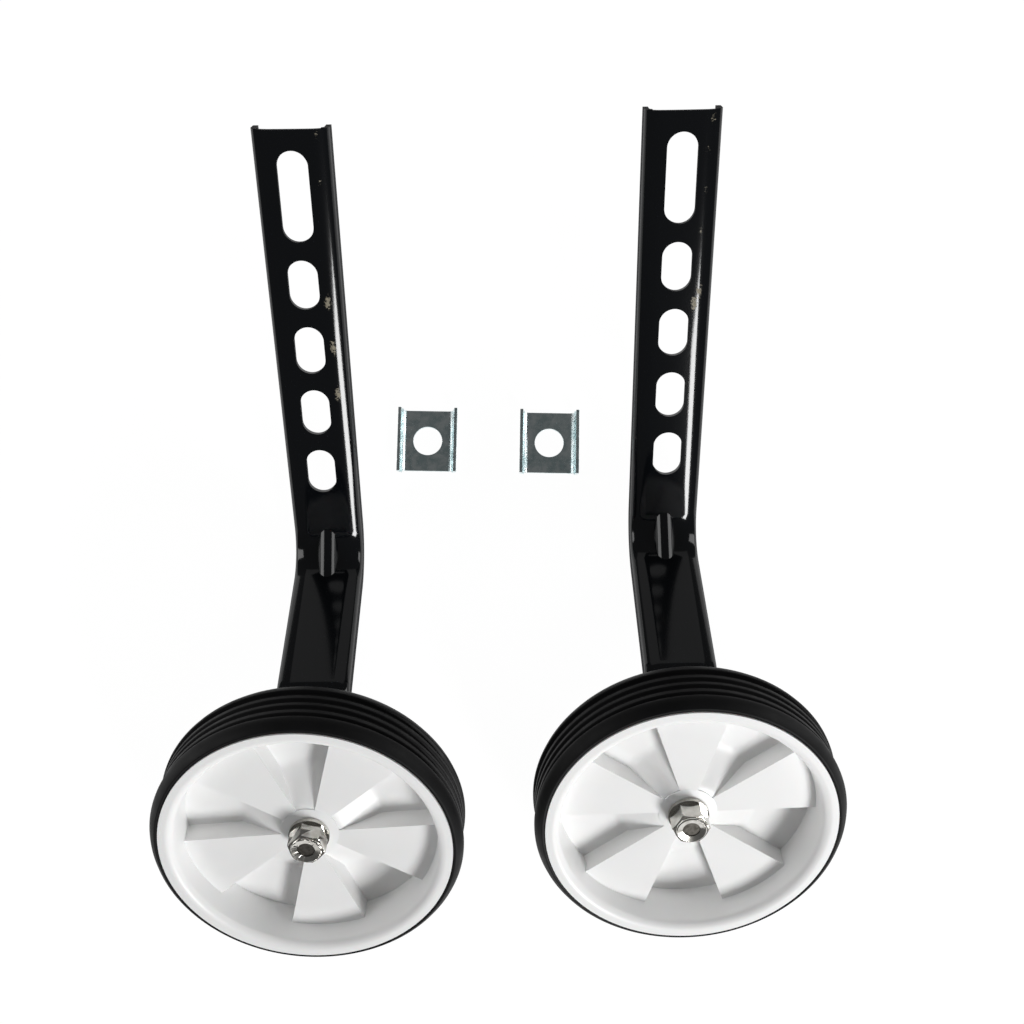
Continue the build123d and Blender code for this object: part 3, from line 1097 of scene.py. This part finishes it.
SOFT_BOXES = (
    SoftBox("front_box", (0.72, -1.2, 0.66), (0.34, 0.6), 16.8),
    SoftBox("right_box", (1.2, 0.3, 0.6), (0.45, 0.9), 4.6),
    SoftBox("left_box", (-1.2, 0.1, 0.6), (0.45, 0.9), 4.6),
    SoftBox("back_card", (0.0, 1.6, 0.6), (1.8, 0.8), 1.1),
)


@dataclass
class Studio:
    """Pale floor, soft lamps and the camera at the photograph's angle."""

    camera_at: tuple[float, float, float] = (0.00508, -0.04956, 0.51147)
    camera_tilt: float = 8.06
    focal_px: float = 1149.4
    image_px: float = 1024.0
    sensor_mm: float = 36.0
    near_clip: float = 0.01
    floor_half: float = 40.0
    floor_drop: float = 0.0002
    floor_colour: str = "#f2f2f2"
    floor_roughness: float = 0.9
    glow_strength: float = 1.06
    glow_share: float = 0.92
    sky: str = "#8c8c8c"
    sky_strength: float = 0.42

    def floor(self) -> None:
        """A white floor that shows the background's white and a trace of shadow."""
        shape = bmesh.new()
        bmesh.ops.create_grid(shape, x_segments=1, y_segments=1, size=self.floor_half)
        bmesh.ops.translate(shape, verts=shape.verts, vec=(0, 0, -self.floor_drop))
        mesh = bpy.data.meshes.new("floor")
        shape.to_mesh(mesh)
        shape.free()
        material, shader, _ = start_material("white_paper_floor")
        tree = material.node_tree
        set_shader(tree, shader,
                   {"Base Color": linear(self.floor_colour), "Roughness": self.floor_roughness}, {})
        path = add_node(tree, "ShaderNodeLightPath", {}, {})
        seen = add_node(tree, "ShaderNodeMath", {"operation": "MAXIMUM"},
                        {0: path.outputs["Is Camera Ray"], 1: path.outputs["Is Glossy Ray"]})
        through = add_node(tree, "ShaderNodeMath", {"operation": "MAXIMUM"},
                           {0: seen.outputs[0], 1: path.outputs["Is Transmission Ray"]})
        share = add_node(tree, "ShaderNodeMath", {"operation": "MULTIPLY", 1: self.glow_share},
                         {0: through.outputs[0]})
        glow = add_node(tree, "ShaderNodeEmission",
                        {"Color": (1, 1, 1, 1), "Strength": self.glow_strength}, {})
        mix = add_node(tree, "ShaderNodeMixShader", {},
                       {0: share.outputs[0], 1: shader.outputs[0], 2: glow.outputs[0]})
        tree.links.new(mix.outputs[0], tree.nodes["Material Output"].inputs["Surface"])
        mesh.materials.append(material)
        floor = bpy.data.objects.new("floor", mesh)
        bpy.context.scene.collection.objects.link(floor)

    def build(self) -> None:
        """Lay the floor, hang the lamps and set the camera."""
        scene = bpy.context.scene
        scene.view_settings.view_transform = "Standard"
        world = bpy.data.worlds.new("studio")
        world.use_nodes = True
        sky = world.node_tree.nodes["Background"]
        sky.inputs["Color"].default_value = linear(self.sky)
        sky.inputs["Strength"].default_value = self.sky_strength
        scene.world = world
        self.floor()
        for box in SOFT_BOXES:
            box.hang()
        lens = bpy.data.cameras.new("camera")
        lens.sensor_width = self.sensor_mm
        lens.lens = self.focal_px / self.image_px * self.sensor_mm
        lens.clip_start = self.near_clip
        camera = bpy.data.objects.new("camera", lens)
        camera.location = self.camera_at
        camera.rotation_euler = (math.radians(self.camera_tilt), 0.0, 0.0)
        scene.collection.objects.link(camera)
        scene.camera = camera


# Direction of a forward panel and turn of the lock nut, in degrees.
PANEL_PHASE = {Side.LEFT: 274.0, Side.RIGHT: 91.0}
NUT_TURN = {Side.LEFT: 15.0, Side.RIGHT: 30.0}
# Spots of painted highlight on the enamel, all on the lit right-hand side: across and along the slotted
# leg, in millimetres, and strength.
PAINTED_HIGHLIGHT_SPOTS = {
    Side.LEFT: [(9.0, -7.0, 1.0), (9.6, -26.0, 1.0), (10.0, -46.0, 1.0), (10.0, 40.0, 0.74),
                (10.0, 57.0, 0.76)],
    Side.RIGHT: [(7.6, -15.0, 1.0), (9.4, -10.0, 0.95), (8.5, 14.0, 0.76), (9.5, 30.0, 0.74),
                 (9.5, 45.0, 0.74), (11.0, 56.0, 0.8)],
}


def main() -> None:
    """Build every sub-assembly in order."""
    logging.basicConfig(level=logging.INFO, format="%(name)s %(message)s")
    places = [ArmFrame(side) for side in Side]
    # The enamel's pale flecks of painted highlight sit at these spots.
    enamel = Enamel().material([(place.point(x, y, 0.0), strength) for place in places
                                for x, y, strength in PAINTED_HIGHLIGHT_SPOTS[place.side]])
    white, black = WHITE_POLYPROPYLENE.material(), BLACK_TYRE.material()
    bright, dull, sheet = BRIGHT_ZINC.material(), DULL_ZINC.material(), SHEET_ZINC.material()
    for place in places:
        ChannelArm().build(place, enamel)
        RoadWheel().build(place, PANEL_PHASE[place.side], white, black)
        AxleHardware().build(place, NUT_TURN[place.side], bright, dull)
        LocatingPlate().build(place.side, sheet)
    Studio().build()


if __name__ == "__main__":
    main()
